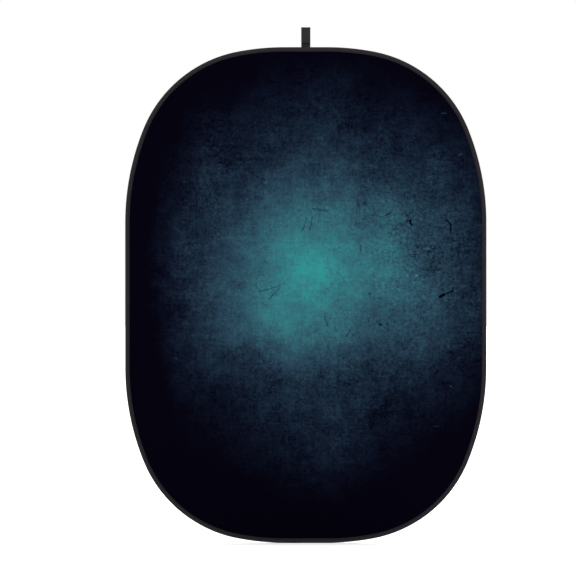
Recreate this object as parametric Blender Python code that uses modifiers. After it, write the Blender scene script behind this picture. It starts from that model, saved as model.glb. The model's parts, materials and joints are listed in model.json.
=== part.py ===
"""Pop-up photographic background panel.

Two cloths are stretched over a flat spring-steel hoop and sewn into a folded edge tape.  The panel
faces -Y and hangs from a webbing loop at its top.  Its middle bends over a row of fold axes, so the
panel folds in half, bottom up to top, on its way to its stored coil.  The origin is the seat inside
the top of the loop, where a hook carries the panel.  Lengths are in metres, and heights are counted
from the panel's bottom edge, depths from the plane between its cloths.
"""
import math

import bpy
from mathutils import Matrix

MM = 0.001

# Outline: half of each straight run follows from the width, the height and the corner arcs.
WIDTH = 1.500
HEIGHT = 2.058
CORNER_ARCS = (  # radius, turn in degrees and segments, from the bottom run round to the side run
    (1.026, 11.0, 4),
    (0.529, 57.0, 12),
    (1.037, 22.0, 6),
)

# Fold axes: level lines across the panel, within its straight sides, from the top one down.
FOLD_COUNT = 8
FIRST_FOLD = 1.325
FOLD_SPACING = 0.080
TAPE_GAP = 3.2 * MM  # between neighbouring runs of tape or hoop, so that they clear when bent
CLOTH_GAP = 0.8 * MM

# Cross-section of the edge: depth in from the outer edge, and half thickness there.
TAPE_WALL = 0.8 * MM
TAPE_HALF_SECTION = (
    (0.0, 3.4 * MM),
    (1.3 * MM, 5.0 * MM),
    (2.7 * MM, 5.9 * MM),
    (5.4 * MM, 5.9 * MM),
    (8.2 * MM, 4.3 * MM),
    (11.5 * MM, 2.5 * MM),
    (18.5 * MM, 1.75 * MM),
)
HOOP_DEPTH = 3.0 * MM
HOOP_THICKNESS = 1.2 * MM
HOOP_BREADTH = 6.5 * MM
SLEEVE_WALL = 0.3 * MM
FERRULE_CLEARANCE = 0.6 * MM  # from the hoop to the ferrule's outer side, wall included
FERRULE_CORNER = 0.35 * MM
FERRULE_LENGTH = 60 * MM
WRAP_CLEARANCE = 1.2 * MM
WRAP_CORNER = 0.7 * MM
WRAP_LENGTH = 76 * MM
HOOP_END_GAP = 1.0 * MM
CLOTH_INSET = 9.0 * MM
CLOTH_THICKNESS = 0.5 * MM
CLOTH_OFFSET = 0.4 * MM  # from the mid-plane to each cloth's own middle

# Hanging loop: a folded strip of webbing, its tails sewn to the back of the edge tape.
WEBBING_WIDTH = 38 * MM
PLY = 1.5 * MM
LOOP_Y = 7.7 * MM
LOOP_AXIS_RISE = 6.0 * MM
TAIL_RISE = 3.0 * MM
STEM_START = 9.0 * MM
EYE_START = 18.0 * MM
LOOP_TOP = 83.6 * MM
EYE_HALF_GAP = 6.6 * MM
EYE_STEPS = 12
EYE_LAST_STEP = 0.965  # where the round of the eye gives way to the flat at its top
BARTACK = (35 * MM, 0.6 * MM, 7.0 * MM)
TAIL_BARTACK = (35 * MM, 0.6 * MM, 4.0 * MM)
THREAD_GAP = 0.3 * MM
SEAT_HEIGHT = HEIGHT + LOOP_TOP - PLY

FRONT = -1
REAR = 1


def remove_everything():
    for obj in list(bpy.data.objects):
        bpy.data.objects.remove(obj)


def make_collection(name):
    collection = bpy.data.collections.new(name)
    bpy.context.scene.collection.children.link(collection)
    return collection


def make_material(name, colour, roughness, metallic=0.0):
    material = bpy.data.materials.new(name)
    material.use_nodes = True
    shader = material.node_tree.nodes["Principled BSDF"]
    shader.inputs["Base Color"].default_value = (*colour, 1.0)
    shader.inputs["Roughness"].default_value = roughness
    shader.inputs["Metallic"].default_value = metallic
    material.diffuse_color = (*colour, 1.0)
    return material


remove_everything()
PANEL = make_collection("pop_up_background_panel")
GUIDES = make_collection("profiles")
FINISHES = {
    "printed_cloth": make_material("printed_cloth", (0.020, 0.060, 0.085), 0.90),
    "black_cloth": make_material("black_cloth", (0.012, 0.012, 0.013), 0.92),
    "edge_tape": make_material("edge_tape", (0.017, 0.016, 0.018), 0.85),
    "webbing": make_material("webbing", (0.026, 0.026, 0.029), 0.80),
    "thread": make_material("thread", (0.014, 0.014, 0.016), 0.60),
    "spring_steel": make_material("spring_steel", (0.38, 0.39, 0.41), 0.35, 1.0),
    "ferrule_steel": make_material("ferrule_steel", (0.60, 0.60, 0.61), 0.30, 1.0),
    "wrap_tape": make_material("wrap_tape", (0.70, 0.69, 0.66), 0.55),
}


# Outline and sections

def fold_height(number):
    """Height of fold axis 1 to FOLD_COUNT."""
    return FIRST_FOLD - FOLD_SPACING * (number - 1)


def corner(inset):
    """Bottom right corner, from the bottom run to the side run, about the panel's centre."""
    centre_x = 0.0
    centre_z = CORNER_ARCS[0][0] - HEIGHT / 2
    heading = 0.0
    last_radius = CORNER_ARCS[0][0]
    points = []
    for radius, angle, steps in CORNER_ARCS:
        centre_x += (last_radius - radius) * math.sin(heading)
        centre_z -= (last_radius - radius) * math.cos(heading)
        for step in range(1 if points else 0, steps + 1):
            turn = heading + math.radians(angle) * step / steps
            x = centre_x + (radius - inset) * math.sin(turn)
            z = centre_z - (radius - inset) * math.cos(turn)
            points.append((x, z))
        heading += math.radians(angle)
        last_radius = radius
    shift = WIDTH / 2 - inset - points[-1][0]
    return [(x + shift, z) for x, z in points]


def lower_left(inset, level):
    """Left side from a level down and round to the bottom run, about the panel's centre."""
    return [(inset - WIDTH / 2, level)] + [(-x, z) for x, z in reversed(corner(inset))]


def lower_right(inset, level):
    return corner(inset) + [(WIDTH / 2 - inset, level)]


def lower_end(inset, level):
    return lower_left(inset, level) + lower_right(inset, level)


def upper_end(inset, level):
    """The lower end turned half round, so it too runs anticlockwise seen from the front."""
    return [(-x, -z) for x, z in lower_end(inset, -level)]


def side_run(side, inset, low, high):
    """Straight run of one side: the right one runs up and the left one down."""
    x = side * (WIDTH / 2 - inset)
    return [(x, low), (x, high)] if side > 0 else [(x, high), (x, low)]


def from_centre(height):
    return height - HEIGHT / 2


def tape_section():
    """Open outline of the folded tape, from its front flange round the edge to its rear flange."""
    front = [(-depth, half) for depth, half in reversed(TAPE_HALF_SECTION)]
    rear = [(-depth, -half) for depth, half in TAPE_HALF_SECTION]
    return front + rear


def hoop_section(margin=0.0, corner_cut=0.0):
    """Flat section of the hoop, or of a sleeve's outer side at a margin round it."""
    outer = margin - HOOP_DEPTH
    inner = -HOOP_DEPTH - HOOP_THICKNESS - margin
    half = HOOP_BREADTH / 2 + margin
    if not corner_cut:
        return [(outer, half), (outer, -half), (inner, -half), (inner, half)]
    return [
        (outer - corner_cut, half), (outer, half - corner_cut),
        (outer, corner_cut - half), (outer - corner_cut, -half),
        (inner + corner_cut, -half), (inner, corner_cut - half),
        (inner, half - corner_cut), (inner + corner_cut, half),
    ]


# Building

def add_object(name, data, collection, parent=None):
    obj = bpy.data.objects.new(name, data)
    collection.objects.link(obj)
    obj.parent = parent
    return obj


def poly_curve(name, outlines, closed):
    curve = bpy.data.curves.new(name, "CURVE")
    curve.dimensions = "2D"
    curve.fill_mode = "NONE"
    for outline in outlines:
        spline = curve.splines.new("POLY")
        spline.points.add(len(outline) - 1)
        for point, (x, y) in zip(spline.points, outline):
            point.co = (x, y, 0.0, 1.0)
        spline.use_cyclic_u = closed
    return curve


def make_profile(name, outline, closed=True):
    profile = add_object(name, poly_curve(name, [outline], closed), GUIDES)
    profile.hide_render = True
    profile.display_type = "WIRE"
    return profile


PROFILES = {
    "tape": make_profile("tape_profile", tape_section(), closed=False),
    "hoop": make_profile("hoop_profile", hoop_section()),
    "ferrule": make_profile("ferrule_profile", hoop_section(FERRULE_CLEARANCE, FERRULE_CORNER)),
    "wrap": make_profile("wrap_profile", hoop_section(WRAP_CLEARANCE, WRAP_CORNER)),
}


def add_frame(name, parent=None, y=0.0, z=0.0):
    """Empty that carries one moving body, with its origin on the body's joint axis."""
    frame = add_object(name, None, PANEL, parent)
    frame.empty_display_size = 0.05
    above = parent["axis"] if parent else (LOOP_Y, SEAT_HEIGHT)
    frame.location = (0.0, y - above[0], z - above[1])
    frame["axis"] = (y, z)
    return frame


def stand_up(obj, frame, y=0.0):
    """Turn a flat drawing upright, facing the front, with its centre at the panel's own centre."""
    obj.rotation_euler = (math.radians(90), 0.0, 0.0)
    obj.location = (0.0, y - frame["axis"][0], 0.0)


def drawn_from(path, frame):
    """Path about the panel's centre, moved to start from the frame's axis height."""
    rise = HEIGHT / 2 - frame["axis"][1]
    return [(x, z + rise) for x, z in path]


def add_sweep(name, path, profile, finish, frame, wall=0.0):
    """Run of tape, hoop or sleeve: the profile carried along the outer edge's path."""
    curve = poly_curve(name, [drawn_from(path, frame)], closed=False)
    curve.bevel_mode = "OBJECT"
    curve.bevel_object = PROFILES[profile]
    curve.use_fill_caps = wall == 0.0
    curve.materials.append(FINISHES[finish])
    obj = add_object(name, curve, PANEL, frame)
    stand_up(obj, frame)
    if wall:
        shell = obj.modifiers.new("wall", "SOLIDIFY")
        shell.thickness = wall
        shell.offset = -1.0
        shell.use_even_offset = True
    return obj


def add_cloth(name, outline, side, finish, frame):
    curve = poly_curve(name, [drawn_from(outline, frame)], closed=True)
    curve.fill_mode = "BOTH"
    curve.extrude = CLOTH_THICKNESS / 2
    curve.materials.append(FINISHES[finish])
    obj = add_object(name, curve, PANEL, frame)
    stand_up(obj, frame, side * CLOTH_OFFSET)
    return obj


def add_webbing(name, outlines, frame):
    """Strip of webbing drawn from the side, in Y and Z, and as wide as the webbing along X."""
    y_axis, z_axis = frame["axis"]
    moved = [[(y - y_axis, z - z_axis) for y, z in outline] for outline in outlines]
    curve = poly_curve(name, moved, closed=True)
    curve.fill_mode = "BOTH"
    curve.extrude = WEBBING_WIDTH / 2
    curve.materials.append(FINISHES["webbing"])
    obj = add_object(name, curve, PANEL, frame)
    obj.rotation_euler = (math.radians(90), 0.0, math.radians(90))
    return obj


def add_bartack(name, size, y, z, frame):
    """Bar of dense thread, lying flat against the webbing."""
    bpy.ops.mesh.primitive_cube_add(size=1.0)
    obj = bpy.context.object
    for collection in list(obj.users_collection):
        collection.objects.unlink(obj)
    PANEL.objects.link(obj)
    obj.name = name
    obj.data.name = name
    obj.data.transform(Matrix.Diagonal((*size, 1.0)))
    obj.data.materials.append(FINISHES["thread"])
    obj.parent = frame
    obj.location = (0.0, y - frame["axis"][0], z - frame["axis"][1])
    edge = obj.modifiers.new("rounded_edge", "BEVEL")
    edge.width = size[1] / 4
    edge.segments = 2
    return obj


# Bodies

def build_lower(frame):
    tape_level = from_centre(fold_height(FOLD_COUNT) - TAPE_GAP / 2)
    cloth_level = from_centre(fold_height(FOLD_COUNT) - CLOTH_GAP / 2)
    bottom = -HEIGHT / 2
    left = lower_left(0.0, tape_level) + [(-HOOP_END_GAP / 2, bottom)]
    right = [(HOOP_END_GAP / 2, bottom)] + lower_right(0.0, tape_level)
    add_sweep("hoop_lower_left", left, "hoop", "spring_steel", frame)
    add_sweep("hoop_lower_right", right, "hoop", "spring_steel", frame)
    ferrule = [(-FERRULE_LENGTH / 2, bottom), (FERRULE_LENGTH / 2, bottom)]
    add_sweep("hoop_ferrule", ferrule, "ferrule", "ferrule_steel", frame, wall=SLEEVE_WALL)
    wrap = [(-WRAP_LENGTH / 2, bottom), (WRAP_LENGTH / 2, bottom)]
    add_sweep("ferrule_wrap", wrap, "wrap", "wrap_tape", frame, wall=SLEEVE_WALL)
    add_sweep("binding_lower", lower_end(0.0, tape_level), "tape", "edge_tape", frame, wall=TAPE_WALL)
    outline = lower_end(CLOTH_INSET, cloth_level)
    add_cloth("front_cloth_lower", outline, FRONT, "printed_cloth", frame)
    add_cloth("rear_cloth_lower", outline, REAR, "black_cloth", frame)


def build_strip(number, frame):
    """Straight strip of the panel between one fold axis and the next."""
    high = from_centre(fold_height(number))
    low = from_centre(fold_height(number + 1))
    for side, word in ((-1, "left"), (1, "right")):
        run = side_run(side, 0.0, low + TAPE_GAP / 2, high - TAPE_GAP / 2)
        add_sweep(f"hoop_{word}_{number}", run, "hoop", "spring_steel", frame)
        add_sweep(f"binding_{word}_{number}", run, "tape", "edge_tape", frame, wall=TAPE_WALL)
    cloth_low, cloth_high = low + CLOTH_GAP / 2, high - CLOTH_GAP / 2
    outline = (side_run(1, CLOTH_INSET, cloth_low, cloth_high)
               + side_run(-1, CLOTH_INSET, cloth_low, cloth_high))
    add_cloth(f"front_cloth_{number}", outline, FRONT, "printed_cloth", frame)
    add_cloth(f"rear_cloth_{number}", outline, REAR, "black_cloth", frame)


def build_upper(frame):
    tape_level = from_centre(fold_height(1) + TAPE_GAP / 2)
    cloth_level = from_centre(fold_height(1) + CLOTH_GAP / 2)
    run = upper_end(0.0, tape_level)
    add_sweep("hoop_upper", run, "hoop", "spring_steel", frame)
    add_sweep("binding_upper", run, "tape", "edge_tape", frame, wall=TAPE_WALL)
    outline = upper_end(CLOTH_INSET, cloth_level)
    add_cloth("front_cloth_upper", outline, FRONT, "printed_cloth", frame)
    add_cloth("rear_cloth_upper", outline, REAR, "black_cloth", frame)
    build_tails(frame)


def build_tails(frame):
    """Both plies of the webbing below the loop, lying on the back of the edge tape."""
    front_y = LOOP_Y - PLY
    back_y = LOOP_Y + PLY
    outline = [
        (front_y, HEIGHT + TAIL_RISE),
        (front_y, HEIGHT - 5.6 * MM),
        (4.75 * MM, HEIGHT - 8.4 * MM),
        (2.9 * MM, HEIGHT - 11.8 * MM),
        (2.4 * MM, HEIGHT - 17.0 * MM),
        (5.4 * MM, HEIGHT - 17.0 * MM),
        (5.8 * MM, HEIGHT - 12.6 * MM),
        (back_y, HEIGHT - 6.4 * MM),
        (back_y, HEIGHT + TAIL_RISE),
    ]
    add_webbing("loop_tails", [outline], frame)
    y = back_y + THREAD_GAP + TAIL_BARTACK[1] / 2
    add_bartack("tail_bartack", TAIL_BARTACK, y, HEIGHT - TAIL_RISE / 2, frame)


def eye_side():
    """Rear half of the eye's inner outline: half gap and height, from its crotch to its top flat."""
    low = HEIGHT + EYE_START
    length = LOOP_TOP - PLY - EYE_START
    points = [(0.0, low)]
    for step in range(1, EYE_STEPS + 1):
        u = EYE_LAST_STEP * step / EYE_STEPS
        half = EYE_HALF_GAP * math.sqrt(math.sin(math.pi * u)) * math.sin(math.pi * u / 2) ** 1.5
        points.append((half, low + length * (1 - math.cos(math.pi * u)) / 2))
    rise = low + length - points[-1][1]
    return [(half, z + rise * (z - low) / (points[-1][1] - low)) for half, z in points]


def offset_outwards(side):
    """Outer outline one ply outside the eye's inner one, square to it at each point."""
    outer = []
    for before, (half, z), after in zip(side, side[1:], side[2:] + side[-1:]):
        along_y, along_z = after[0] - before[0], after[1] - before[1]
        length = math.hypot(along_y, along_z)
        outer.append((half + PLY * along_z / length, z - PLY * along_y / length))
    half, z = side[-1]
    outer[-1] = (half, z + PLY)
    return outer


def build_loop(frame):
    side = eye_side()
    outer = [(PLY, HEIGHT + STEM_START), (PLY, HEIGHT + EYE_START)] + offset_outwards(side)
    outline = [(LOOP_Y + half, z) for half, z in outer]
    outline += [(LOOP_Y - half, z) for half, z in reversed(outer)]
    eye = [(LOOP_Y + half, z) for half, z in side]
    eye += [(LOOP_Y - half, z) for half, z in reversed(side[1:])]
    add_webbing("hang_loop", [outline, eye], frame)
    middle = HEIGHT + (STEM_START + EYE_START) / 2
    reach = PLY + THREAD_GAP + BARTACK[1] / 2
    add_bartack("bartack_front", BARTACK, LOOP_Y - reach, middle, frame)
    add_bartack("bartack_rear", BARTACK, LOOP_Y + reach, middle, frame)


def build_panel():
    """Each body hangs from the one above it: loop, upper end, strips and lower end."""
    frame = add_frame("hang_loop_frame", y=LOOP_Y, z=SEAT_HEIGHT)
    build_loop(frame)
    frame = add_frame("panel_upper_frame", frame, y=LOOP_Y, z=HEIGHT + LOOP_AXIS_RISE)
    build_upper(frame)
    for number in range(1, FOLD_COUNT):
        frame = add_frame(f"flex_{number}_frame", frame, z=fold_height(number))
        build_strip(number, frame)
    frame = add_frame("panel_lower_frame", frame, z=fold_height(FOLD_COUNT))
    build_lower(frame)


build_panel()
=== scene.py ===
"""Looks of the pop-up background panel: printed and plain cloths, edge tape, stitching and loop."""
import json
import math
import random

import bpy
import numpy as np
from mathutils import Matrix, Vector
from mathutils.kdtree import KDTree


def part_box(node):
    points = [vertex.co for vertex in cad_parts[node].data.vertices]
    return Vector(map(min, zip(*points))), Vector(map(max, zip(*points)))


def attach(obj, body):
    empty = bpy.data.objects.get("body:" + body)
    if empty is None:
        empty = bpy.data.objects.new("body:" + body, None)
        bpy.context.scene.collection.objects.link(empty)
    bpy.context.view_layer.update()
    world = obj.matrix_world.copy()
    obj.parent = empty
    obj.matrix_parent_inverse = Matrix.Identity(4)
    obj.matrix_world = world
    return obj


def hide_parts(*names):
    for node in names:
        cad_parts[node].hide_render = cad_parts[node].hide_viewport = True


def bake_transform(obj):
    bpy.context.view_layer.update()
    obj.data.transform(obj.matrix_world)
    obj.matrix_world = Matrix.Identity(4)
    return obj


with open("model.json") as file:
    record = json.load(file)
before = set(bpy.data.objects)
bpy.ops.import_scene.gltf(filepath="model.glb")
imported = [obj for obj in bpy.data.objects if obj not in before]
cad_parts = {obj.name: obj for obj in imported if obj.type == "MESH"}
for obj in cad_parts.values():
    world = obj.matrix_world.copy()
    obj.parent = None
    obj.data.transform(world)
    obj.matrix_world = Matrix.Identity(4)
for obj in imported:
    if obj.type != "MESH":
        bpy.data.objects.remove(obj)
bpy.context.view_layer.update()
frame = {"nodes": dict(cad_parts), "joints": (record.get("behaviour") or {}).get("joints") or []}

MM = 0.001

# ---------------------------------------------------------------- sizes, from the frame

JOINTS = {joint["name"]: joint for joint in frame["joints"]}
BODIES = ["panel_upper"] + [f"flex_{n}" for n in range(1, 8)] + ["panel_lower"]
FOLDS = len(BODIES) - 1

low_corner, high_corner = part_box("binding_lower")
WIDTH = high_corner[0] - low_corner[0]
FLOOR = low_corner[2]
MID_Y = (low_corner[1] + high_corner[1]) / 2
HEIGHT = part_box("binding_upper")[1][2] - FLOOR

# Everything is drawn about the middle of the bottom edge, and moved to the frame by place().
FOLD_HEIGHTS = [JOINTS[f"fold_{n}"]["pos_m"][2] - FLOOR for n in range(1, FOLDS + 1)]
BORDERS = [(a + b) / 2 for a, b in zip(FOLD_HEIGHTS, FOLD_HEIGHTS[1:])]
LOOP_DEPTH = JOINTS["loop_flap"]["pos_m"][1] - MID_Y

# Radius in metres and turn in degrees, as in the frame. A fit gave these.
CORNER_ARCS = ((1.026, 11.0), (0.529, 57.0), (1.037, 22.0))

FRONT, REAR = -1, 1
CLOTH_INSET = 9 * MM  # from the panel's edge to the cloth's edge, inside the tape
CLOTH_DEPTH = 0.55 * MM  # from the middle of the panel's thickness to the cloth at its edge
CLOTH_CROWN = 1.8 * MM  # how much further out the cloth is away from its edge
CLOTH_SLACK = 1.2 * MM
CLOTH_MIN_DEPTH = 0.2 * MM
PUCKER_WAVES = (0.041, 0.059, 0.083)  # wavelengths along the edge, in metres
PUCKER_GROUPS = (0.31, 0.47, 0.83)
SAMPLE = 8 * MM
EDGE_SAMPLE = 2 * MM
COLUMNS = 124
END_ROWS = 62
PATCH_CORNER = 34.0  # degrees along the middle arc to the corner of a cloth's end patch

# Half section of the folded tape's outer face: distance in from the edge, and half thickness.
TAPE_SECTION = (
    (0.0, 0.0), (0.05, 1.6), (0.25, 3.0), (0.9, 4.5), (1.9, 5.4), (3.0, 5.85), (4.2, 5.95),
    (5.4, 5.75), (6.8, 5.1), (8.4, 4.1), (10.2, 3.15), (12.2, 2.5), (14.2, 2.15), (15.3, 2.0),
    (15.9, 1.72), (16.1, 1.72), (16.7, 1.97), (17.6, 1.92), (18.3, 1.75), (18.6, 1.5),
    (18.4, 1.2), (17.0, 1.05),
)
TAPE_GIRTH = 2 * MM * sum(math.dist(a, b) for a, b in zip(TAPE_SECTION, TAPE_SECTION[1:]))
TAPE_RIPPLE = 0.12 * MM  # out of the panel, and drift in its plane, of the tape's inner edge
TAPE_DRIFT = 0.25 * MM
TAPE_RIPPLE_WAVES = (0.047, 0.071, 0.113)
TAPE_DRIFT_WAVES = (0.093, 0.157, 0.231)
TAPE_SEED = 7
TAPE_LOOSE_FROM = 8 * MM  # depth where the ripple starts, and the depth over which it grows
TAPE_LOOSE_OVER = 10 * MM
SEAM_INSET = 16.0 * MM
SEAM_DEPTH = 1.86 * MM
STITCH_PITCH = 3.8 * MM
STITCH_LENGTH = 2.9 * MM
THREAD_RADIUS = 0.28 * MM
THREAD_SIDES = 5
# Rings of one stitch: share of its length, size, and how far it sinks, both in thread radii.
THREAD_RINGS = ((0.0, 0.35, 1.5), (0.12, 0.95, 0.2), (0.5, 1.0, 0.0), (0.88, 0.95, 0.2), (1.0, 0.35, 1.5))
HOOP_SECTION = (3.0, 4.2, 3.25)  # outer and inner depth, and half breadth, in millimetres
HOOP_ROUNDING = 0.3 * MM

WEBBING_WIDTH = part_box("hang_loop")[1][0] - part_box("hang_loop")[0][0]
WEBBING_THICKNESS = 1.4 * MM
PLY_OFFSET = 0.75 * MM
STEM_TOP = 18.0 * MM
WEBBING_PROFILE = (-1.0, -0.985, -0.95, -0.8, -0.5, -0.2, 0.2, 0.5, 0.8, 0.95, 0.985, 1.0)
WEBBING_EDGE = (0.35, 16)  # share of the thickness at the very edge, and how fast it grows
WEBBING_STEP = 1.2 * MM
LOOP_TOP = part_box("hang_loop")[1][2] - FLOOR - HEIGHT
EYE_SHARES = (0.22, 0.38, 0.54, 0.70, 0.84, 0.94)  # of the way from the stem to the crown
EYE_FULLNESS = 1.33
CROWN_SINK = 0.72 * MM  # from the top of the loop to the middle of its webbing
TAIL_SEAM_DEPTH = LOOP_DEPTH - 2.2 * MM  # depth of the seam's stitches that the tails cover

BARTACK_PLACE = 72.0 * MM  # along the webbing from the top of the loop
BARTACK_SPAN = (10.2 * MM, 16.4 * MM)  # heights above the panel's top
TAIL_BARTACK_SPAN = (-3.4 * MM, 0.4 * MM)
BARTACK_MARGIN = 2.0 * MM
BARTACK_THREAD = 0.30 * MM
BARTACK_LIFT = 0.05 * MM
BORDER_LIFT = 0.1 * MM
BORDER_STEPS = 4
ZIGZAG_PITCH = 0.66 * MM


def place(points):
    """Points drawn about the middle of the bottom edge, in the frame's own coordinates."""
    return np.asarray(points, float) + np.array([0.0, MID_Y, FLOOR])


# ---------------------------------------------------------------- outline of the panel

def quarter_turns():
    """Straight and round stretches from the bottom centre to the middle of the right side."""
    heading, run, rise = 0.0, 0.0, 0.0
    arcs = []
    for radius, turn in CORNER_ARCS:
        end = heading + math.radians(turn)
        run += radius * (math.sin(end) - math.sin(heading))
        rise += radius * (math.cos(heading) - math.cos(end))
        arcs.append((radius * (end - heading), radius))
        heading = end
    return [(WIDTH / 2 - run, None)] + arcs + [(HEIGHT / 2 - rise, None)]


QUARTER = quarter_turns()
STRETCHES = (QUARTER + QUARTER[::-1]) * 2
PERIMETER = sum(length for length, _ in STRETCHES)


def trace_stretches():
    """Start of each stretch: distance along the outline, position and heading."""
    starts = []
    along, x, z, heading = 0.0, 0.0, 0.0, 0.0
    for length, radius in STRETCHES:
        starts.append((along, x, z, heading))
        if radius is None:
            x += length * math.cos(heading)
            z += length * math.sin(heading)
        else:
            end = heading + length / radius
            x += radius * (math.sin(end) - math.sin(heading))
            z += radius * (math.cos(heading) - math.cos(end))
            heading = end
        along += length
    return np.array(starts)


STARTS = trace_stretches()


def outline(along):
    """Position and outward normal on the outer edge, anticlockwise from the bottom centre."""
    along = np.mod(np.asarray(along, float), PERIMETER)
    index = np.clip(np.searchsorted(STARTS[:, 0], along, side="right") - 1, 0, len(STRETCHES) - 1)
    start, x, z, heading = STARTS[index].T
    radius = np.array([r or 0.0 for _, r in STRETCHES])[index]
    run = along - start
    bent = radius > 0
    safe = np.where(bent, radius, 1.0)
    turn = heading + np.where(bent, run / safe, 0.0)
    x = x + np.where(bent, safe * (np.sin(turn) - np.sin(heading)), run * np.cos(heading))
    z = z + np.where(bent, safe * (np.cos(heading) - np.cos(turn)), run * np.sin(heading))
    return np.stack([x, z], -1), np.stack([np.sin(turn), -np.cos(turn)], -1)


SIDE_START = sum(length for length, _ in QUARTER[:-1])


def right_side(height):
    """Distance along the outline of a height on the straight part of the right side."""
    return SIDE_START + height - (HEIGHT / 2 - QUARTER[-1][0])


def edge_stations(step):
    """Distances along the whole outline, with one at every border between two pieces."""
    fixed = sorted([right_side(z) for z in BORDERS] + [PERIMETER - right_side(z) for z in BORDERS])
    fixed = [fixed[-1] - PERIMETER] + fixed
    stations = []
    for start, end in zip(fixed, fixed[1:]):
        count = max(2, math.ceil((end - start) / step))
        stations.extend(np.linspace(start, end, count, endpoint=False))
    return np.array(stations)


def waves(along, wavelengths, seed):
    """Smooth irregular wave along the edge that closes on itself, between about -1 and 1."""
    rng = random.Random(seed)
    total = np.zeros_like(along)
    for wavelength in wavelengths:
        turns = round(PERIMETER / wavelength)
        total += np.sin(2 * math.pi * (turns * along / PERIMETER + rng.random()))
    return total / len(wavelengths)


# ---------------------------------------------------------------- meshes

def grid_faces(rows, columns, closed=False):
    """Quads of a grid of points stored row by row; closed joins the last row to the first."""
    count = rows if closed else rows - 1
    row = np.arange(count)[:, None]
    column = np.arange(columns - 1)[None, :]
    after = (row + 1) % rows
    quads = np.stack([
        row * columns + column, row * columns + column + 1,
        after * columns + column + 1, after * columns + column,
    ], -1)
    return quads.reshape(-1, 4)


def strip_uvs(rows, along, across):
    """UV pairs at the corners of grid_faces: distance along the rows, and across them."""
    columns = len(across) - 1
    row, column = np.divmod(np.arange(rows * columns), columns)
    corners = ((row, column), (row, column + 1), (row + 1, column + 1), (row + 1, column))
    return np.stack([np.stack([along[r], across[c]], -1) for r, c in corners], 1)


def vertex_normals(points, faces):
    """Unit normal at each point, from the quads round it and weighted by their area."""
    normals = np.zeros_like(points)
    corners = points[faces]
    cross = np.cross(corners[:, 2] - corners[:, 0], corners[:, 3] - corners[:, 1])
    for corner in range(4):
        np.add.at(normals, faces[:, corner], cross)
    return normals / np.maximum(np.linalg.norm(normals, axis=1, keepdims=True), 1e-12)


def new_mesh(name, points, faces, material, uvs=None, normals=None):
    """Object with smooth faces, an optional UV pair for each face corner, and set normals."""
    mesh = bpy.data.meshes.new(name)
    mesh.from_pydata([tuple(p) for p in points], [], [tuple(int(i) for i in f) for f in faces])
    mesh.update()
    mesh.shade_smooth()
    if uvs is not None:
        layer = mesh.uv_layers.new(name="rest")
        layer.data.foreach_set("uv", np.asarray(uvs, np.float32).ravel())
    if normals is not None:
        mesh.normals_split_custom_set_from_vertices([tuple(n) for n in normals])
    mesh.materials.append(material)
    obj = bpy.data.objects.new(name, mesh)
    bpy.context.scene.collection.objects.link(obj)
    return obj


def piece_of(heights):
    """Number of the fold, from 1 at the top, that a height belongs to."""
    return 1 + sum((heights < border).astype(int) for border in BORDERS)


def blend_at_fold(obj):
    """Bakes the piece's placement into its points."""
    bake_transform(obj)


def split_at_folds(name, points, faces, uvs, material):
    """One skin over the whole panel, as a piece for each fold whose shading runs on unbroken."""
    normals = vertex_normals(points, faces)
    owner = piece_of(points[faces].mean(1)[:, 2])
    pieces = []
    for number in range(1, FOLDS + 1):
        mine = owner == number
        used, again = np.unique(faces[mine], return_inverse=True)
        quads = again.reshape(-1, 4)
        obj = new_mesh(f"{name}_{number}", place(points[used]), quads, material, uvs[mine],
                       normals[used])
        blend_at_fold(obj)
        pieces.append(obj)
    return pieces


def stand_for(pieces, top, strips, bottom):
    """Each piece of a skin takes the place of the frame's nodes at its own fold."""
    for number, piece in enumerate(pieces, 1):
        nodes = [f"{strip}_{number}" for strip in strips]
        if number == 1:
            nodes = top + nodes
        elif number == FOLDS:
            nodes = bottom
        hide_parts(*nodes)


# ---------------------------------------------------------------- node helpers

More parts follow.
